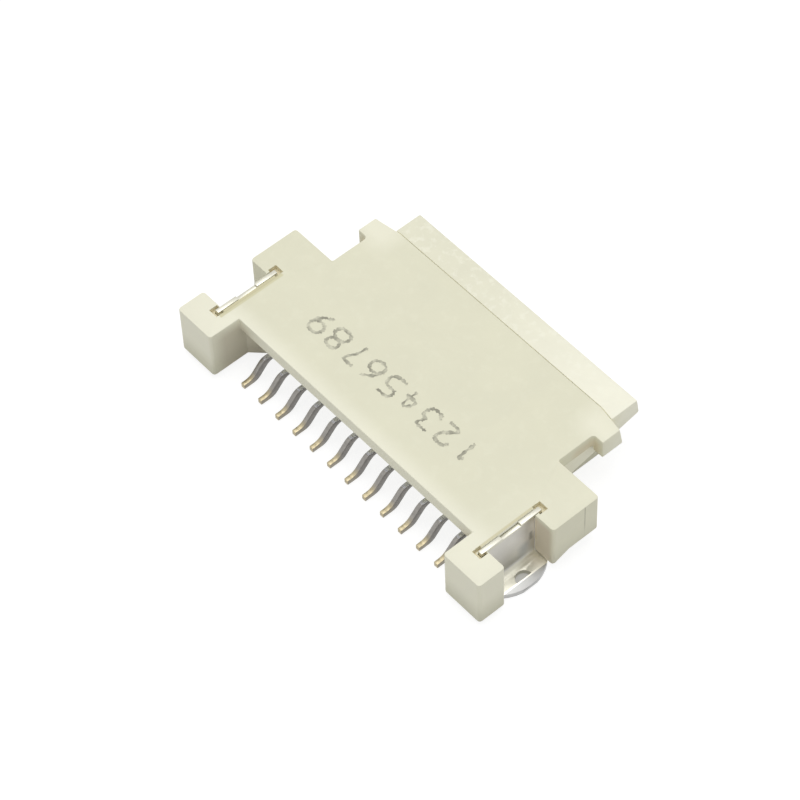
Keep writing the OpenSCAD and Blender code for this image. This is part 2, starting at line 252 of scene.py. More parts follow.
def tinted(
        tree: bpy.types.NodeTree, axes: bpy.types.Node, colour: Colour, region: Region) -> bpy.types.NodeSocket:
    """Tints the places inside a box.

    Args:
        tree: Node tree of the material.
        axes: Separated object coordinates, in mm.
        colour: Colour so far.
        region: The box, its colour and the ends of the row at which it shows.

    Returns:
        The colour with the tint. Its share is the product of one soft step for each side of the box.
    """
    operation = "ABSOLUTE" if region.end is End.BOTH else "MULTIPLY"
    side = add_node(
        tree, "Math", {"operation": operation}, in0=axes.outputs["X"], in1=float(region.end.value)).outputs[0]
    share = region.amount
    for value, low, high in zip((side, axes.outputs["Y"], axes.outputs["Z"]), region.box.low, region.box.high):
        rise = add_node(tree, "MapRange", Value=value, From_Min=low, From_Max=low + region.blur)
        drop = add_node(
            tree, "MapRange", Value=value, From_Min=high - region.blur, From_Max=high, To_Min=1.0, To_Max=0.0)
        both = add_node(tree, "Math", {"operation": "MULTIPLY"}, in0=rise.outputs[0], in1=drop.outputs[0])
        share = add_node(tree, "Math", {"operation": "MULTIPLY"}, in0=both.outputs[0], in1=share).outputs[0]
    return add_node(tree, "Mix", {"data_type": "RGBA"}, in0=share, in6=colour, in7=linear(region.colour)).outputs[2]


@dataclass(frozen=True)
class MouldedPolymer:
    """Glass-filled liquid crystal polymer, moulded: a satin ivory skin with faint flow clouds and a fine grain.

    Attributes:
        name: Name of the material.
        colour: Main colour.
        tones: Soft changes of colour along the axes.
        regions: Boxes with a colour of their own or with painted light or shade.
        mottle: Colour of the small pale flakes in the skin, where resin and glass part.
        mottle_mm: Size of those flakes.
        mottle_share: Share of the flakes' colour.
        mottle_noise: Noise value from which a flake shows, and the value from which it is full.
        roughness: Roughness of the satin skin where its clouds are darkest, and where they are lightest.
        cloud_mm: Size of the flow clouds.
        cloud_depth: How much darker and lighter the clouds are.
        grain_mm: Size of the spark-eroded grain; real grain is about 0.02 mm and is drawn coarser.
        grain_depth_mm: Depth of that grain.
        grain_strength: How strongly that grain turns the light.
        parting: Hair line between two inserts of the mould.
    """

    name: str
    colour: str
    tones: tuple[Tone, ...]
    regions: tuple[Region, ...]
    mottle: str = "#F4F3DD"
    mottle_mm: float = 0.5
    mottle_share: float = 0.12
    mottle_noise: tuple[float, float] = (0.5, 0.66)
    roughness: tuple[float, float] = (0.45, 0.56)
    cloud_mm: float = 2.4
    cloud_depth: float = 0.02
    grain_mm: float = 0.09
    grain_depth_mm: float = 0.0022
    grain_strength: float = 0.55
    parting: PartingLine | None = None

    def build(self) -> bpy.types.Material:
        """Builds the material.

        Returns:
            The finished material.
        """
        material, tree, output = new_material(self.name)
        place = place_in_mm(tree)
        axes = add_node(tree, "SeparateXYZ", Vector=place)
        cloud = add_node(
            tree, "TexNoise", Vector=place, Scale=1 / self.cloud_mm, Detail=3.0, Roughness=0.55, Distortion=1.2)
        grain = add_node(tree, "TexNoise", Vector=place, Scale=1 / self.grain_mm, Detail=2.0, Roughness=0.6)
        colour = self.skin(tree, place, axes, cloud)
        for region in self.regions:
            colour = tinted(tree, axes, colour, region)
        if self.parting is not None:
            colour = self.parting_line(tree, axes, colour, self.parting)
        rough = add_node(
            tree, "MapRange", Value=cloud.outputs["Fac"], From_Min=NOISE_LOW, From_Max=NOISE_HIGH,
            To_Min=self.roughness[0], To_Max=self.roughness[1])
        bump = add_node(
            tree, "Bump", Strength=self.grain_strength, Distance=self.grain_depth_mm * MM, Height=grain.outputs["Fac"])
        shader = add_node(
            tree, "BsdfPrincipled", Base_Color=colour, Roughness=rough.outputs[0], IOR=POLYMER_IOR,
            Normal=bump.outputs[0])
        tree.links.new(shader.outputs[0], output.inputs["Surface"])
        return material

    def skin(
            self, tree: bpy.types.NodeTree, place: bpy.types.NodeSocket, axes: bpy.types.Node,
            cloud: bpy.types.Node) -> bpy.types.NodeSocket:
        """Colours the skin: the main colour with its tones, pale flakes over it, and the clouds over both.

        Args:
            tree: Node tree of the material.
            place: Object coordinates, in mm.
            axes: The same coordinates, separated.
            cloud: Noise of the flow clouds.

        Returns:
            Colour of the skin.
        """
        colour: Colour = linear(self.colour)
        for tone in self.tones:
            along = add_node(
                tree, "MapRange", {"interpolation_type": "SMOOTHSTEP"},
                Value=axes.outputs[tone.axis.value], From_Min=tone.start, From_Max=tone.end)
            mixed = add_node(
                tree, "Mix", {"data_type": "RGBA"}, in0=along.outputs[0], in6=colour, in7=linear(tone.colour))
            colour = mixed.outputs[2]
        flake = add_node(tree, "TexNoise", Vector=place, Scale=1 / self.mottle_mm, Detail=4.0, Roughness=0.62)
        pale = add_node(
            tree, "MapRange", {"interpolation_type": "SMOOTHSTEP"}, Value=flake.outputs["Fac"],
            From_Min=self.mottle_noise[0], From_Max=self.mottle_noise[1], To_Min=0.0, To_Max=self.mottle_share)
        flaked = add_node(
            tree, "Mix", {"data_type": "RGBA"}, in0=pale.outputs[0], in6=colour, in7=linear(self.mottle))
        waves = add_node(
            tree, "MapRange", Value=cloud.outputs["Fac"], From_Min=NOISE_LOW, From_Max=NOISE_HIGH,
            To_Min=1.0 - self.cloud_depth, To_Max=1.0 + self.cloud_depth)
        clouded = add_node(
            tree, "Mix", {"data_type": "RGBA", "blend_type": "MULTIPLY"}, in0=1.0, in6=flaked.outputs[2],
            in7=waves.outputs[0])
        return clouded.outputs[2]

    def parting_line(
            self, tree: bpy.types.NodeTree, axes: bpy.types.Node, colour: Colour,
            line: PartingLine) -> bpy.types.NodeSocket:
        """Darkens the hair line. Its share is the product of one step across it, one at the face and one upwards.

        Args:
            tree: Node tree of the material.
            axes: Separated object coordinates, in mm.
            colour: Colour so far.
            line: The hair line.

        Returns:
            The colour with the line.
        """
        away = add_node(tree, "Math", {"operation": "SUBTRACT"}, in0=axes.outputs["Y"], in1=line.depth)
        width = add_node(tree, "Math", {"operation": "ABSOLUTE"}, in0=away.outputs[0])
        near = add_node(
            tree, "MapRange", Value=width.outputs[0], From_Min=line.core, From_Max=line.reach, To_Min=1.0, To_Max=0.0)
        face = add_node(
            tree, "MapRange", Value=axes.outputs["X"], From_Min=line.face[0], From_Max=line.face[1], To_Min=0.0,
            To_Max=line.share)
        high = add_node(
            tree, "MapRange", Value=axes.outputs["Z"], From_Min=line.heights[0], From_Max=line.heights[1],
            To_Min=line.faint, To_Max=1.0)
        flat = add_node(tree, "Math", {"operation": "MULTIPLY"}, in0=near.outputs[0], in1=face.outputs[0])
        mask = add_node(tree, "Math", {"operation": "MULTIPLY"}, in0=flat.outputs[0], in1=high.outputs[0])
        drawn = add_node(
            tree, "Mix", {"data_type": "RGBA"}, in0=mask.outputs[0], in6=colour, in7=linear(line.colour))
        return drawn.outputs[2]


@dataclass(frozen=True)
class TinPlate:
    """Matte tin over phosphor bronze strip: a grey metal with soft, slightly streaked reflections.

    Attributes:
        name: Name of the material.
        sheet: Reflectance of the rolled faces, which look along X.
        cut: Reflectance of the cut edges and of all other faces.
        sheet_facing: How far a face looks along X, as a cosine, where the first starts and where it is full.
        tones: Other reflectances, each in a box at both ends of the row, most of them painted light, shade and
            reflections.
        roughness: Mean roughness.
        uneven: How far the roughness varies to both sides.
        streak_mm: Spacing of the rolling streaks; real ones are about 0.01 mm and are drawn coarser.
        streak_depth_mm: Depth of the streaks.
        streak_strength: How strongly they turn the light.
        across: Stretch of the streaks along X, Y and Z.
        patch_mm: Size of the unevenly plated patches.
        blotch: How uneven the plating is.
        tip: Reflectance near a tip, where the thin plating lets the bronze tint it.
        tip_along: Y where that starts, and Y where it is full, in mm.
        tip_facing: How far a face looks along X, as a cosine, where that is least and where it is full.
        tip_least: Share of it that the rolled faces keep.
    """

    name: str
    sheet: str
    cut: str
    tones: tuple[Region, ...]
    roughness: float
    streak_depth_mm: float
    blotch: float
    sheet_facing: tuple[float, float] = (0.55, 0.9)
    uneven: float = 0.07
    streak_mm: float = 0.06
    streak_strength: float = 0.3
    across: tuple[float, float, float] = (1.0, 0.35, 1.0)
    patch_mm: float = 0.4
    tip: str | None = None
    tip_along: tuple[float, float] = (-3.78, -4.08)
    tip_facing: tuple[float, float] = (0.85, 0.5)
    tip_least: float = 0.3

    def build(self) -> bpy.types.Material:
        """Builds the material.

        Returns:
            The finished material.
        """
        material, tree, output = new_material(self.name)
        place = place_in_mm(tree)
        stretched = add_node(tree, "Mapping", Vector=place, Scale=self.across).outputs[0]
        streak = add_node(tree, "TexNoise", Vector=stretched, Scale=1 / self.streak_mm, Detail=3.0, Roughness=0.6)
        patch = add_node(tree, "TexNoise", Vector=place, Scale=1 / self.patch_mm, Detail=3.0, Roughness=0.6)
        worn = add_node(
            tree, "MapRange", Value=patch.outputs["Fac"], From_Min=NOISE_LOW, From_Max=NOISE_HIGH,
            To_Min=1.0 - self.blotch, To_Max=1.0 + self.blotch)
        toned = add_node(
            tree, "Mix", {"data_type": "RGBA", "blend_type": "MULTIPLY"}, in0=1.0, in6=self.plating(tree, place),
            in7=worn.outputs[0])
        rough = add_node(
            tree, "MapRange", Value=streak.outputs["Fac"], From_Min=NOISE_LOW, From_Max=NOISE_HIGH,
            To_Min=self.roughness - self.uneven, To_Max=self.roughness + self.uneven)
        bump = add_node(
            tree, "Bump", Strength=self.streak_strength, Distance=self.streak_depth_mm * MM,
            Height=streak.outputs["Fac"])
        shader = add_node(
            tree, "BsdfPrincipled", Base_Color=toned.outputs[2], Metallic=1.0, Roughness=rough.outputs[0],
            Normal=bump.outputs[0])
        tree.links.new(shader.outputs[0], output.inputs["Surface"])
        return material

    def plating(self, tree: bpy.types.NodeTree, place: bpy.types.NodeSocket) -> bpy.types.NodeSocket:
        """Gives the metal's reflectance, by the way that a face looks and by its place, with the painted light and
        shade of its tones.

        Args:
            tree: Node tree of the material.
            place: Object coordinates, in mm.

        Returns:
            Reflectance of the metal, before its patches.
        """
        axes = add_node(tree, "SeparateXYZ", Vector=place)
        facing = add_node(tree, "SeparateXYZ", Vector=add_node(tree, "TexCoord").outputs["Normal"])
        side = add_node(tree, "Math", {"operation": "ABSOLUTE"}, in0=facing.outputs["X"])
        rolled = add_node(
            tree, "MapRange", Value=side.outputs[0], From_Min=self.sheet_facing[0], From_Max=self.sheet_facing[1])
        mixed = add_node(
            tree, "Mix", {"data_type": "RGBA"}, in0=rolled.outputs[0], in6=linear(self.cut), in7=linear(self.sheet))
        colour = mixed.outputs[2]
        if self.tip is not None:
            along = add_node(
                tree, "MapRange", {"interpolation_type": "SMOOTHSTEP"}, Value=axes.outputs["Y"],
                From_Min=self.tip_along[0], From_Max=self.tip_along[1])
            bare = add_node(
                tree, "MapRange", Value=side.outputs[0], From_Min=self.tip_facing[0], From_Max=self.tip_facing[1],
                To_Min=self.tip_least, To_Max=1.0)
            mask = add_node(tree, "Math", {"operation": "MULTIPLY"}, in0=along.outputs[0], in1=bare.outputs[0])
            mixed = add_node(
                tree, "Mix", {"data_type": "RGBA"}, in0=mask.outputs[0], in6=colour, in7=linear(self.tip))
            colour = mixed.outputs[2]
        # The tones paint light, shade and reflections in their boxes.
        for tone in self.tones:
            colour = tinted(tree, axes, colour, tone)
        return colour


@dataclass(frozen=True)
class FadedInk:
    """Thin grey ink that the polymer's grain shows through.

    Attributes:
        name: Name of the material.
        dark: Colour where the ink is thick.
        faint: Colour where it has nearly worn off.
        patch_mm: Size of the worn patches.
        worn_noise: Noise value from which the ink is worn, and the value from which it is faintest.
        roughness: Roughness of the ink.
    """

    name: str = "faded_ink"
    dark: str = "#969483"
    faint: str = "#D3D1BB"
    patch_mm: float = 0.35
    worn_noise: tuple[float, float] = (0.38, 0.62)
    roughness: float = 0.6

    def build(self) -> bpy.types.Material:
        """Builds the material.

        Returns:
            The finished material.
        """
        material, tree, output = new_material(self.name)
        patch = add_node(
            tree, "TexNoise", Vector=place_in_mm(tree), Scale=1 / self.patch_mm, Detail=3.0, Roughness=0.6)
        worn = add_node(
            tree, "MapRange", Value=patch.outputs["Fac"], From_Min=self.worn_noise[0], From_Max=self.worn_noise[1])
        colour = add_node(
            tree, "Mix", {"data_type": "RGBA"}, in0=worn.outputs[0], in6=linear(self.dark), in7=linear(self.faint))
        shader = add_node(
            tree, "BsdfPrincipled", Base_Color=colour.outputs[2], Roughness=self.roughness, IOR=POLYMER_IOR)
        tree.links.new(shader.outputs[0], output.inputs["Surface"])
        return material


# ---------------------------------------------------------------- meshes


def softened_copy(node: str, name: str, radius: float, crisp: tuple[Box, ...] = ()) -> bpy.types.Object:
    """Copies a CAD node with its sharp edges rounded, as a mould or a stamping leaves them.

    The loose triangles are merged where they meet, flat neighbours are joined, and every edge that turns by more
    than ROUND_TURN gets a round of the given radius. The work is done in mm, so that the small sizes keep their
    digits, and the result is put back in metres.

    Args:
        node: CAD node that the copy stands for.
        name: Name of the new piece.
        radius: Radius of the rounded edges, in mm.
        crisp: Boxes at both ends of the row in which edges stay sharp, so that a fine gap there stays fine.

    Returns:
        The new object, at the origin.
    """
    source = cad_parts[node].data
    spots = np.empty(len(source.vertices) * 3)
    source.vertices.foreach_get("co", spots)
    faces = [tuple(p.vertices) for p in source.polygons]
    mesh = bpy.data.meshes.new(name)
    mesh.from_pydata((spots.reshape(-1, 3) / MM).tolist(), [], faces)
    work = bmesh.new()
    work.from_mesh(mesh)
    bmesh.ops.remove_doubles(work, verts=work.verts, dist=MERGE_MM)
    bmesh.ops.dissolve_limit(work, angle_limit=FLAT_TURN, verts=work.verts, edges=work.edges)
    sharp = [e for e in work.edges if e.is_manifold and e.calc_face_angle() > ROUND_TURN]
    sharp = [e for e in sharp if not any(all(box.holds(v.co) for v in e.verts) for box in crisp)]
    bmesh.ops.bevel(
        work, geom=sharp, offset=radius, offset_type="OFFSET", segments=ROUND_STRIPS, profile=0.5, affect="EDGES",
        clamp_overlap=False, miter_outer="SHARP", miter_inner="SHARP")
    bmesh.ops.triangulate(work, faces=[f for f in work.faces if len(f.verts) > QUAD_CORNERS])
    bmesh.ops.scale(work, vec=(MM, MM, MM), verts=work.verts)
    work.to_mesh(mesh)
    work.free()
    mesh.shade_smooth()
    mesh.set_sharp_from_angle(angle=SHARP_TURN)
    piece = bpy.data.objects.new(name, mesh)
    bpy.context.scene.collection.objects.link(piece)
    weigh = piece.modifiers.new("even_shading", "WEIGHTED_NORMAL")
    weigh.keep_sharp = True
    weigh.weight = LARGE_FACE_WEIGHT
    return piece


def mesh_piece(name: str, spots: np.ndarray, faces: np.ndarray) -> bpy.types.Object:
    """Makes an object from arrays of points and faces.

    Args:
        name: Name of the piece.
        spots: Points, in mm, one row each.
        faces: Point numbers of each face, one row each.

    Returns:
        The new object, at the origin.
    """
    mesh = bpy.data.meshes.new(name)
    mesh.from_pydata((spots * MM).tolist(), [], faces.tolist())
    mesh.update()
    piece = bpy.data.objects.new(name, mesh)
    bpy.context.scene.collection.objects.link(piece)
    return piece


def dress(piece: bpy.types.Object, material: bpy.types.Material, body: Body, slot: str, *nodes: str) -> None:
    """Gives a piece its finish and body, and hides the CAD nodes that it replaces.

    Args:
        piece: The finished piece.
        material: Its finish.
        body: Body that it rides on.
        slot: Slot of the record that its finish would go to. It is not used.
        *nodes: CAD nodes that it replaces.
    """
    piece.data.materials.clear()
    piece.data.materials.append(material)
    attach(piece, body.value)
    if nodes:
        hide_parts(*nodes)
    LOG.info("%s rides on %s with %s", piece.name, body.value, material.name)


# ---------------------------------------------------------------- sub-assemblies


@dataclass
class Housing:
    """Moulded body of the connector.

    Attributes:
        edge_radius: Radius of its edges, in mm.
        finish: Its ivory polymer, paler to the right and to the rear, greyer near the board, with painted warm shade
            in its hollows.
        fine_gaps: Boxes in which its edges stay sharp.
    """

    edge_radius: float = 0.04
    finish: MouldedPolymer = MouldedPolymer(
        "ivory_polymer", "#E5E3CA",
        tones=(
            # Paler towards the right end and to the rear, and darker towards the bottom.
            Tone("#E9E7CF", Axis.X, 5.0, 8.0), Tone("#F2F0DB", Axis.Y, -2.7, -3.7),
            Tone("#D8D6BF", Axis.Z, 1.5, 0.1)),
        regions=(
            # Painted warm shade on the walls of the pockets at both ends of the nail's groove, and in the groove
            # itself.
            Region(Box((7.1, -4.5, 2.2), (7.7, -3.7, 2.49)), "#EAE1C2", 0.9),
            Region(Box((7.1, -1.3, 2.2), (7.7, -0.6, 2.49)), "#EAE1C2", 0.9),
            Region(Box((7.2, -4.2, 1.0), (7.6, -0.8, 2.28)), "#DDD2AA"),
            # Painted warm shade on the face of the front block beside the nail's plate.
            Region(Box((7.3, -1.7, 0.0), (8.5, -1.1, 2.48)), "#D2C1AA", 0.6, 0.3, End.RIGHT),
            # Painted shade on the strip of the top between the plate and the nail, wider and darker at the left end.
            Region(Box((7.0, -4.05, 2.44), (7.34, -0.95, 2.6)), "#D6D1AA", 0.85, 0.05, End.LEFT),
            Region(Box((7.1, -3.9, 2.44), (7.2, -1.1, 2.6)), "#C0BA94", 0.5, 0.03, End.LEFT),
            Region(Box((7.13, -4.0, 2.44), (7.34, -1.0, 2.6)), "#D3CCA6", 0.8, 0.05),
            # Painted light in the groove in the front block, whose thin gap would otherwise look black.
            Region(Box((7.3, -1.395, -0.5), (7.6, -0.8, 2.25)), "#FFFFFF", 1.0, 0.01),
            # Paler front corners with their tabs, and painted warm shade in the hollow behind a tab.
            Region(Box((5.0, 2.0, 0.7), (7.9, 4.6, 3.5)), "#F3F1DB", 0.9, 0.9),
            Region(Box((6.0, 1.4, 1.2), (6.83, 2.9, 2.46)), "#D9C8A6", 0.55, 0.35),
            # Painted shade on the inner side of an ear, beside the tails.
            Region(Box((5.7, -4.8, -1.0), (7.1, -2.4, 2.44)), "#B5A793", 0.42, 0.5),
            # Painted light on the front face of the plate at the hair gap, and on the rim of the groove's inner wall,
            # against the shade in both.
            Region(Box((-1.0, 3.6, 1.8), (6.4, 3.64, 2.46)), "#FFFCE9", 1.0, 0.005),
            Region(Box((7.2, -4.0, 2.2), (7.3, -1.0, 2.49)), "#FFFDEB", 1.0, 0.01)),
        parting=PartingLine(0.145))
    fine_gaps: tuple[Box, ...] = (
        # Lower edges of the plate and of its tabs.
        Box((6.0, 0.8, 1.8), (6.4, 4.0, 1.92)),
        Box((6.0, 2.4, 1.8), (6.6, 2.7, 1.92)),
        # Pockets and groove of the nail.
        Box((7.1, -4.2, 2.2), (7.65, -3.72, 2.6)),
        Box((7.1, -1.28, 2.2), (7.65, -0.8, 2.6)),
        Box((7.4, -1.45, 0.1), (7.56, -1.3, 2.6)),
        # Cable space with the contacts' slots, and the edges around the floor.
        Box((-1.0, -2.65, -0.1), (6.05, 1.8, 1.75)),
        Box((-1.0, -3.0, -0.1), (8.6, 4.0, 0.05)),
        Box((-1.0, 3.3, -0.1), (6.0, 3.6, 0.3)),
        Box((5.85, 0.5, -0.1), (5.92, 3.6, 0.6)))

    def build(self) -> None:
        """Builds and dresses the housing."""
        piece = softened_copy("housing", "housing_body", self.edge_radius, crisp=self.fine_gaps)
        dress(piece, self.finish.build(), Body.HOUSING, "housing_plastic", "housing")


@dataclass
class InkMarking:
    """A printed row of plain counting digits, on top of the housing.

    Attributes:
        text: The digits.
        first: X and Y of the first digit's middle, in mm.
        last: X and Y of the last digit's middle, in mm.
        grid: Size of one step of the digits' grid, in mm.
        cell: Width and height of a digit, in steps.
        stroke: Width of a stroke, in mm.
        pressure: Least and greatest share of that width, where the ink took badly and well.
        waver: How far the points of a stroke stray, in mm.
        rounds: How often a stroke's corners are cut.
        cut: Where a cut meets the sides of a corner, as a share of their length.
        seed: Start of the random draws.
        ink_height: Thickness of the ink at a stroke's start, in mm. It is twice that at its end, so that crossings
            lie apart.
        finish: Its ink.
        corners: Corners of each digit's one stroke, in steps from its lower left.
    """

    text: str = "123456789"
    first: tuple[float, float] = (3.75, -1.365)
    last: tuple[float, float] = (-4.32, -1.44)
    grid: float = 0.157
    cell: tuple[int, int] = (4, 6)
    stroke: float = 0.16
    pressure: tuple[float, float] = (0.35, 1.2)
    waver: float = 0.009
    rounds: int = 3
    cut: float = 0.25
    seed: int = 4
    ink_height: float = 0.002
    finish: FadedInk = FadedInk()
    corners: dict[str, tuple[tuple[float, float], ...]] = field(default_factory=lambda: {
        "1": ((0.8, 4.8), (2, 6), (2, 0)),
        "2": ((0, 4.8), (0.6, 6), (3.4, 6), (4, 4.4), (3, 3), (0, 0), (4.2, 0)),
        "3": ((0, 6), (4, 6), (2, 3.6), (3.6, 3.4), (4.2, 1.8), (3.4, 0), (0.8, 0), (0, 1)),
        "4": ((3, 0), (3, 6), (0, 2), (4.2, 2)),
        "5": ((3.8, 6), (0.2, 6), (0, 3.4), (3.4, 3.8), (4.4, 1.8), (3.4, 0), (0, 0)),
        "6": ((3.4, 6), (0.8, 4.4), (-0.2, 1.8), (0.6, 0), (3.4, 0), (4.4, 1.8), (3.2, 3.6), (0.6, 3.2), (0, 1.8)),
        "7": ((0, 6), (4, 6), (1.8, 2.6), (1.6, 0)),
        "8": (
            (2, 3.2), (0.2, 3.8), (0.2, 6), (3.8, 6), (3.8, 3.8), (2, 3.2), (-0.2, 2.6), (-0.2, 0), (4.2, 0),
            (4.2, 2.6), (2, 3.2)),
        "9": ((0.6, 0), (3.2, 1.6), (4.2, 4.2), (3.4, 6), (0.6, 6), (-0.4, 4.2), (0.8, 2.4), (3.4, 2.8), (4, 4.2))})

    def smoothed(self, corners: np.ndarray) -> np.ndarray:
        """Rounds a line's corners by replacing each one, again and again, by points a quarter along its sides.

        Args:
            corners: Corners of the line, one row each.

        Returns:
            Points of the smooth line, with both ends kept.
        """
        for _ in range(self.rounds):
            near, far = corners[:-1], corners[1:]
            sides = [near * (1 - self.cut) + far * self.cut, near * self.cut + far * (1 - self.cut)]
            corners = np.concatenate([corners[:1], np.stack(sides, axis=1).reshape(-1, 2), corners[-1:]])
        return corners

    def ribbon(self, line: np.ndarray, width: np.ndarray) -> tuple[np.ndarray, np.ndarray]:
        """Widens a line to a flat band: each point gets one at both sides, half the width away across the line.

        Args:
            line: Points along the line, one row each.
            width: Width at each point.

        Returns:
            Points of the band, and its faces of four points each.
        """
        along = np.gradient(line, axis=0)
        across = np.stack([-along[:, 1], along[:, 0]], axis=1) / np.linalg.norm(along, axis=1, keepdims=True)
        half = across * width[:, None] / 2
        spots = np.concatenate([line + half, line - half])
        count = len(line)
        start = np.arange(count - 1)
        return spots, np.stack([start, start + 1, start + 1 + count, start + count], axis=1)

    def build(self) -> None:
        """Builds and dresses the row of digits. Each digit sits at equal steps between the first and the last."""
        first, last = np.array(self.first), np.array(self.last)
        along = (last - first) / np.linalg.norm(last - first)
        up = np.array([-along[1], along[0]])
        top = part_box("housing")[1][2] / MM
        rng = np.random.default_rng(self.seed)
        spots, faces, count = [], [], 0
        for number, digit in enumerate(self.text):
            middle = first + (last - first) * number / (len(self.text) - 1)
            line = self.smoothed(np.array(self.corners[digit], dtype=float)) - np.array(self.cell) / 2
            placed = middle + self.grid * (line[:, :1] * along + line[:, 1:] * up)
            placed = placed + rng.normal(0, self.waver, placed.shape)
            band, quads = self.ribbon(placed, self.stroke * rng.uniform(*self.pressure, len(placed)))
            height = top + self.ink_height * np.tile(np.linspace(1, 2, len(line)), 2)
            spots.append(np.column_stack([band, height]))
            faces.append(quads + count)
            count += len(band)
        piece = mesh_piece("housing_marking", np.concatenate(spots), np.concatenate(faces))
        dress(piece, self.finish.build(), Body.HOUSING, "housing_plastic")


@dataclass
class Slider:
    """Moulded drawer that locks the cable.

    Attributes:
        edge_radius: Radius of its edges, in mm.
        finish: Its polymer, paler and more flaked than the housing's, and paler still towards the right end.
        fine_gaps: Boxes in which its edges stay sharp: the tongue's upper edges, and its tip.
    """

    edge_radius: float = 0.04
    finish: MouldedPolymer = MouldedPolymer(
        "pale_ivory_polymer", "#E9E7D0",
        tones=(Tone("#FAF8E5", Axis.X, -3.5, 6.8),),
        # Painted light on the rear face of the bar at the hair gap, against its shade.
        regions=(Region(Box((-1.0, 3.6, 1.8), (7.0, 3.66, 2.46)), "#FFFCE9", 1.0, 0.005),),
        mottle="#FBFAE8", mottle_mm=0.3, mottle_share=0.42, cloud_mm=1.1)
    fine_gaps: tuple[Box, ...] = (
        Box((0.0, -6.0, 1.8), (7.5, 4.6, 1.9)),
        Box((-1.0, -1.2, 1.2), (7.2, -0.5, 1.9)))

    def build(self) -> None:
        """Builds and dresses the slider."""
        piece = softened_copy("slider", "slider_drawer", self.edge_radius, crisp=self.fine_gaps)
        dress(piece, self.finish.build(), Body.SLIDER, "slider_plastic", "slider")


@dataclass
class ContactRow:
    """Twelve stamped contacts.

    Attributes:
        edge_radius: Radius of their edges, in mm.
        finish: Their plating, with painted light, pale and bluish, over the plate's shade where the tails leave the
            block, and bronze at the tips.
    """

    edge_radius: float = 0.025
    finish: TinPlate = TinPlate(
        "tinned_contact", "#84817D", "#9A9792",
        # Painted light on the tails' tops just behind the plate, where the plate's shade falls on them.
        tones=(Region(Box((-1.0, -3.46, 0.84), (6.5, -2.5, 1.3)), "#EEF0FF", 1.0, 0.03),),
        roughness=0.42, streak_depth_mm=0.0003, patch_mm=0.13, blotch=0.14, tip="#B5AA8D")

    def build(self) -> None:
        """Builds and dresses each contact."""
        material = self.finish.build()
        for node in sorted(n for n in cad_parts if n.startswith("contact_")):
            piece = softened_copy(node, node.replace("contact", "spring_contact"), self.edge_radius)
            dress(piece, material, Body.HOUSING, "contact_metal", node)


@dataclass
class SolderNails:
    """Two stamped and bent solder nails.

    Attributes:
        edge_radius: Radius of their edges, in mm.
        fine_gaps: Boxes in which their edges stay sharp: the solder window and the fold beside it.
        finish: Their plating, with painted light, shade and reflections on the upright plate and the foot.
    """

    edge_radius: float = 0.025
    fine_gaps: tuple[Box, ...] = (Box((7.9, -3.1, -0.1), (8.3, -1.9, 0.4)),)
    finish: TinPlate = TinPlate(
        "tinned_nail", "#D0CEC8", "#DAD8CB",
        tones=(
            # Upright plate: its whole face, a painted highlight on the upper front, painted shade on the lower part
            # and the middle, and a painted reflection of the front block.
            Region(Box((7.2, -4.5, -1.0), (7.8, -0.5, 2.0)), "#E3E1DA", 1.0, 1.0),
            Region(Box((7.2, -1.8, 1.2), (7.8, -0.9, 2.3)), "#FFFFFF", 1.0, 0.35),
            Region(Box((7.2, -4.0, 0.2), (7.9, -1.0, 0.9)), "#C0BFBB", 1.0, 0.3),
            Region(Box((7.2, -2.3, 0.3), (7.75, -1.55, 1.35)), "#AFB2B4", 1.0, 0.3),
            Region(Box((7.2, -1.72, 1.1), (7.8, -1.46, 1.68)), "#8A8985", 0.65, 0.11),
            # Painted light on its end in the front block's groove, whose gap would look dark, and a duller colour on
            # its upper edge.
            Region(Box((7.2, -1.42, -0.5), (7.7, -0.8, 2.3)), "#FFFFFF", 1.0, 0.01),
            Region(Box((7.2, -4.5, 2.3), (7.6, -0.5, 2.6)), "#CFCDC0", 1.0, 0.05),
            # Foot: its whole face, painted light on its front, painted shade on its tip and a painted highlight where
            # its fold catches the light.
            Region(Box((7.5, -4.0, -0.1), (8.7, -1.0, 0.42)), "#CAC8BA", 1.0, 0.04),
            Region(Box((7.4, -2.1, -0.6), (8.6, -0.8, 0.9)), "#FAF8EE", 1.0, 0.4),
            Region(Box((8.17, -4.0, -0.1), (8.7, -1.0, 0.4)), "#B6B6B4", 1.0, 0.02),
            Region(Box((8.11, -4.0, 0.1), (8.2, -1.0, 0.4)), "#FBF9EE", 1.0, 0.02)),
        roughness=0.44, uneven=0.02, across=(1.0, 1.0, 0.3), streak_depth_mm=0.0002, blotch=0.03)

    def build(self) -> None:
        """Builds and dresses both nails."""
        material = self.finish.build()
        for side in ("left", "right"):
            piece = softened_copy(
                f"solder_nail_{side}", f"board_nail_{side}", self.edge_radius, crisp=self.fine_gaps)
            dress(piece, material, Body.HOUSING, "nail_metal", f"solder_nail_{side}")


# ---------------------------------------------------------------- studio


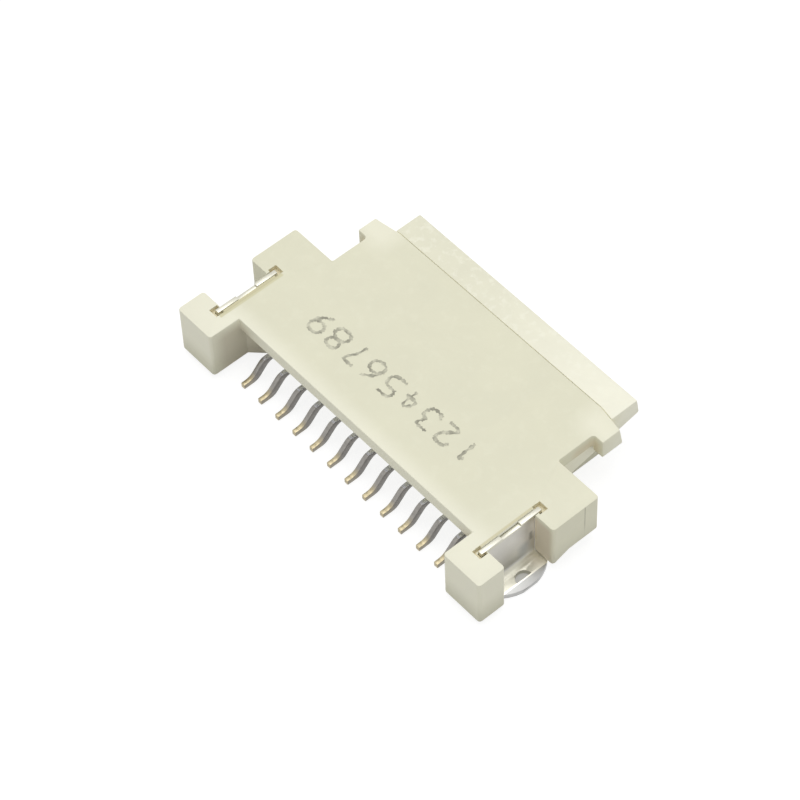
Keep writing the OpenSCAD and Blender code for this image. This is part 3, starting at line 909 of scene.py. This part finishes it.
@dataclass
class Studio:
    """Camera, plain pale floor, white surroundings and one soft lamp.

    Attributes:
        eye: Place of the camera, in mm.
        right: Direction of the picture's right side.
        down: Direction of the picture's lower side.
        ahead: Direction the camera looks in.
        lens: Focal length, in mm.
        sensor: Width of the camera's sensor, in mm.
        clip: Nearest and farthest distance that the camera sees, in metres.
        ambient: Strength of the light that the surroundings give.
        floor_half: Half of the floor's side, in mm.
        floor_low: Height of the floor, just clear of the board plane, in mm.
        floor_lit: Colour of the floor where it throws light back on the part.
        floor_seen: Colour that keeps the part's shadow where the floor is seen.
        floor_glow: Light that brings the seen floor up to plain white.
        window_shade: Painted shade on the paper under the nails' solder windows, which shows through them.
        lamp_place: Place of the lamp, in mm.
        lamp_side: Length of its side, in mm.
        lamp_watts: Its power.
    """

    eye: tuple[float, float, float] = (57.0017, -47.3483, 99.2275)
    right: tuple[float, float, float] = (0.65693, 0.75343, -0.02812)
    down: tuple[float, float, float] = (0.59139, -0.53806, -0.60062)
    ahead: tuple[float, float, float] = (-0.46766, 0.37794, -0.79904)
    lens: float = 148.508
    sensor: float = 36.0
    clip: tuple[float, float] = (0.005, 10.0)
    ambient: float = 0.62
    floor_half: float = 600.0
    floor_low: float = -0.01
    floor_lit: str = "#D2D2D0"
    floor_seen: str = "#8C8C8C"
    floor_glow: float = 0.84
    window_shade: Region = Region(Box((7.6, -3.05, -1.0), (8.3, -2.05, 1.0)), "#A3A29C", 1.0, 0.1)
    lamp_place: tuple[float, float, float] = (-40.0, 40.0, 300.0)
    lamp_side: float = 220.0
    lamp_watts: float = 0.34

    def camera(self) -> None:
        """Makes the camera and sets it as the scene's."""
        data = bpy.data.cameras.new("studio_camera")
        data.sensor_width = self.sensor
        data.lens = self.lens
        data.clip_start, data.clip_end = self.clip
        camera = bpy.data.objects.new("studio_camera", data)
        bpy.context.scene.collection.objects.link(camera)
        x, y, z = Vector(self.right), -Vector(self.down), -Vector(self.ahead)
        turn = Matrix((x, y, z)).transposed().to_4x4()
        camera.matrix_world = Matrix.Translation(Vector(self.eye) * MM) @ turn
        bpy.context.scene.camera = camera

    def plain_rays(self, tree: bpy.types.NodeTree) -> bpy.types.NodeSocket:
        """Picks the rays that see plain white. It is the greatest of three values that are each 0 or 1.

        Args:
            tree: Node tree of the world or of a material.

        Returns:
            1 for camera, glossy and transmission rays, and 0 for the rest.
        """
        path = add_node(tree, "LightPath")
        plain = path.outputs["Is Camera Ray"]
        for ray in ("Is Glossy Ray", "Is Transmission Ray"):
            plain = add_node(tree, "Math", {"operation": "MAXIMUM"}, in0=plain, in1=path.outputs[ray]).outputs[0]
        return plain

    def surroundings(self) -> None:
        """Sets the world: soft ambient light, and plain white where it is seen or reflected."""
        world = bpy.data.worlds.new("studio_world")
        bpy.context.scene.world = world
        world.use_nodes = True
        tree = world.node_tree
        tree.nodes.clear()
        soft = add_node(tree, "Background", Color=linear("#FFFFFF"), Strength=self.ambient)
        white = add_node(tree, "Background", Color=linear("#FFFFFF"), Strength=1.0)
        mixed = add_node(tree, "MixShader", in0=self.plain_rays(tree), in1=soft.outputs[0], in2=white.outputs[0])
        output = tree.nodes.new("ShaderNodeOutputWorld")
        tree.links.new(mixed.outputs[0], output.inputs["Surface"])

    def floor(self) -> None:
        """Lays the pale floor just under the part: white, with a faint shadow, and painted shade in the nails'
        windows.
        """
        half, low = self.floor_half, self.floor_low
        spots = np.array([[-half, -half, low], [half, -half, low], [half, half, low], [-half, half, low]])
        piece = mesh_piece("studio_floor", spots, np.array([[0, 1, 2, 3]]))
        material, tree, output = new_material("studio_paper")
        axes = add_node(tree, "SeparateXYZ", Vector=place_in_mm(tree))
        lit = add_node(tree, "BsdfDiffuse", Color=linear(self.floor_lit))
        shade = add_node(tree, "BsdfDiffuse", Color=linear(self.floor_seen))
        # Painted shade under the nails' windows.
        paper = tinted(tree, axes, linear("#FFFFFF"), self.window_shade)
        glow = add_node(tree, "Emission", Color=paper, Strength=self.floor_glow)
        seen = add_node(tree, "AddShader", in0=shade.outputs[0], in1=glow.outputs[0])
        mixed = add_node(tree, "MixShader", in0=self.plain_rays(tree), in1=lit.outputs[0], in2=seen.outputs[0])
        tree.links.new(mixed.outputs[0], output.inputs["Surface"])
        piece.data.materials.append(material)

    def lamp(self) -> None:
        """Hangs the soft square lamp, so that it faces the part."""
        data = bpy.data.lights.new("overhead_softbox", "AREA")
        data.shape = "SQUARE"
        data.size = self.lamp_side * MM
        data.energy = self.lamp_watts
        lamp = bpy.data.objects.new("overhead_softbox", data)
        bpy.context.scene.collection.objects.link(lamp)
        spot = Vector(self.lamp_place) * MM
        lamp.matrix_world = Matrix.Translation(spot) @ (-spot).to_track_quat("-Z", "Y").to_matrix().to_4x4()

    def build(self) -> None:
        """Sets up the whole studio."""
        self.camera()
        self.surroundings()
        self.floor()
        self.lamp()
        bpy.context.scene.view_settings.view_transform = "Standard"


def main() -> None:
    """Builds the studio and every piece."""
    logging.basicConfig(level=logging.INFO, format="%(name)s: %(message)s")
    for assembly in (Studio(), Housing(), InkMarking(), Slider(), ContactRow(), SolderNails()):
        assembly.build()


if __name__ == "__main__":
    main()
